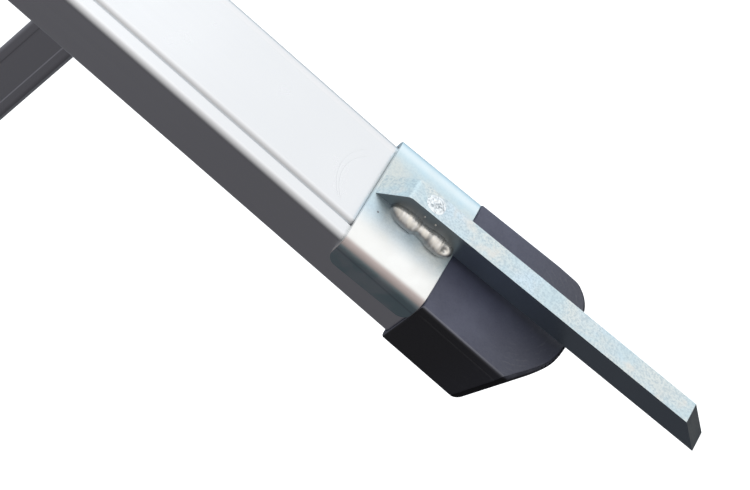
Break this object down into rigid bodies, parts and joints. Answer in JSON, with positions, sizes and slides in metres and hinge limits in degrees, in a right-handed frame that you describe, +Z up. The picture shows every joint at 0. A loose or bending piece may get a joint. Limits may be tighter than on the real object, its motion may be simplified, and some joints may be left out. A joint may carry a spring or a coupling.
{
  "type": "ladder stabilizer",
  "caption": "Lower end of an aluminium ladder leg with rubber-soled shoe, and a steel ground spike welded to a saddle bracket that a stud and wing nut clamp on.",
  "frame": {"origin": "centre of the stile's section at its sawn upper end, where the leg joins the rest of the ladder", "axes": "+Z up along the stile, +Y inwards along the rung, -Y out of the wide face that carries the stabilizer, +X towards the far narrow face"},
  "size_m": [0.0737, 0.1641, 0.3801],
  "materials": {
    "extruded_aluminium": "mill-finish extrusion, fine lines along its length",
    "rung_aluminium": "mill-finish extrusion, slightly dull",
    "rivet_aluminium": "satin",
    "black_plastic": "satin moulded plastic with scuffs",
    "black_rubber": "matte moulded rubber",
    "mandrel_steel": "snapped steel, dull",
    "zinc_sheet": "bright zinc plate with a faint blue and pink tint",
    "zinc_bar": "zinc plate over mill surface, mottled",
    "zinc_fastener": "bright zinc plate",
    "spring_steel": "dull zinc plate",
    "weld_metal": "rippled weld metal under thin zinc",
    "plug_metal": "rough ground weld metal"
  },
  "bodies": {
    "ladder_leg": {"stile": "extruded_aluminium", "rung": "rung_aluminium", "shoe_body": "black_plastic", "tread_sole": "black_rubber", "shoe_rivets": "rivet_aluminium", "rivet_mandrels": "mandrel_steel", "spacer_tube": "rivet_aluminium", "washer": "zinc_fastener", "lock_washer": "spring_steel"},
    "stabilizer": {"bracket": "zinc_sheet", "spike_bar": "zinc_bar", "weld_bead_near": "weld_metal", "weld_bead_far": "weld_metal", "plug_weld": "plug_metal", "clamp_stud": "zinc_fastener"},
    "wing_nut": {"wing_nut": "zinc_fastener"}
  },
  "joints": [
    {"name": "stabilizer_slide", "type": "slide", "parent": "ladder_leg", "child": "stabilizer", "axis": [0, -1, 0], "range_m": [0, 0.01]},
    {"name": "wing_nut_turn", "type": "hinge", "parent": "ladder_leg", "child": "wing_nut", "pos_m": [0.004, 0.0176, -0.223], "axis": [0, 1, 0], "range_deg": [0, 2881]}
  ],
  "couplings": [
    {"joint": "wing_nut_turn", "follows": "stabilizer_slide", "rad_per_m": 5026.5}
  ]
}
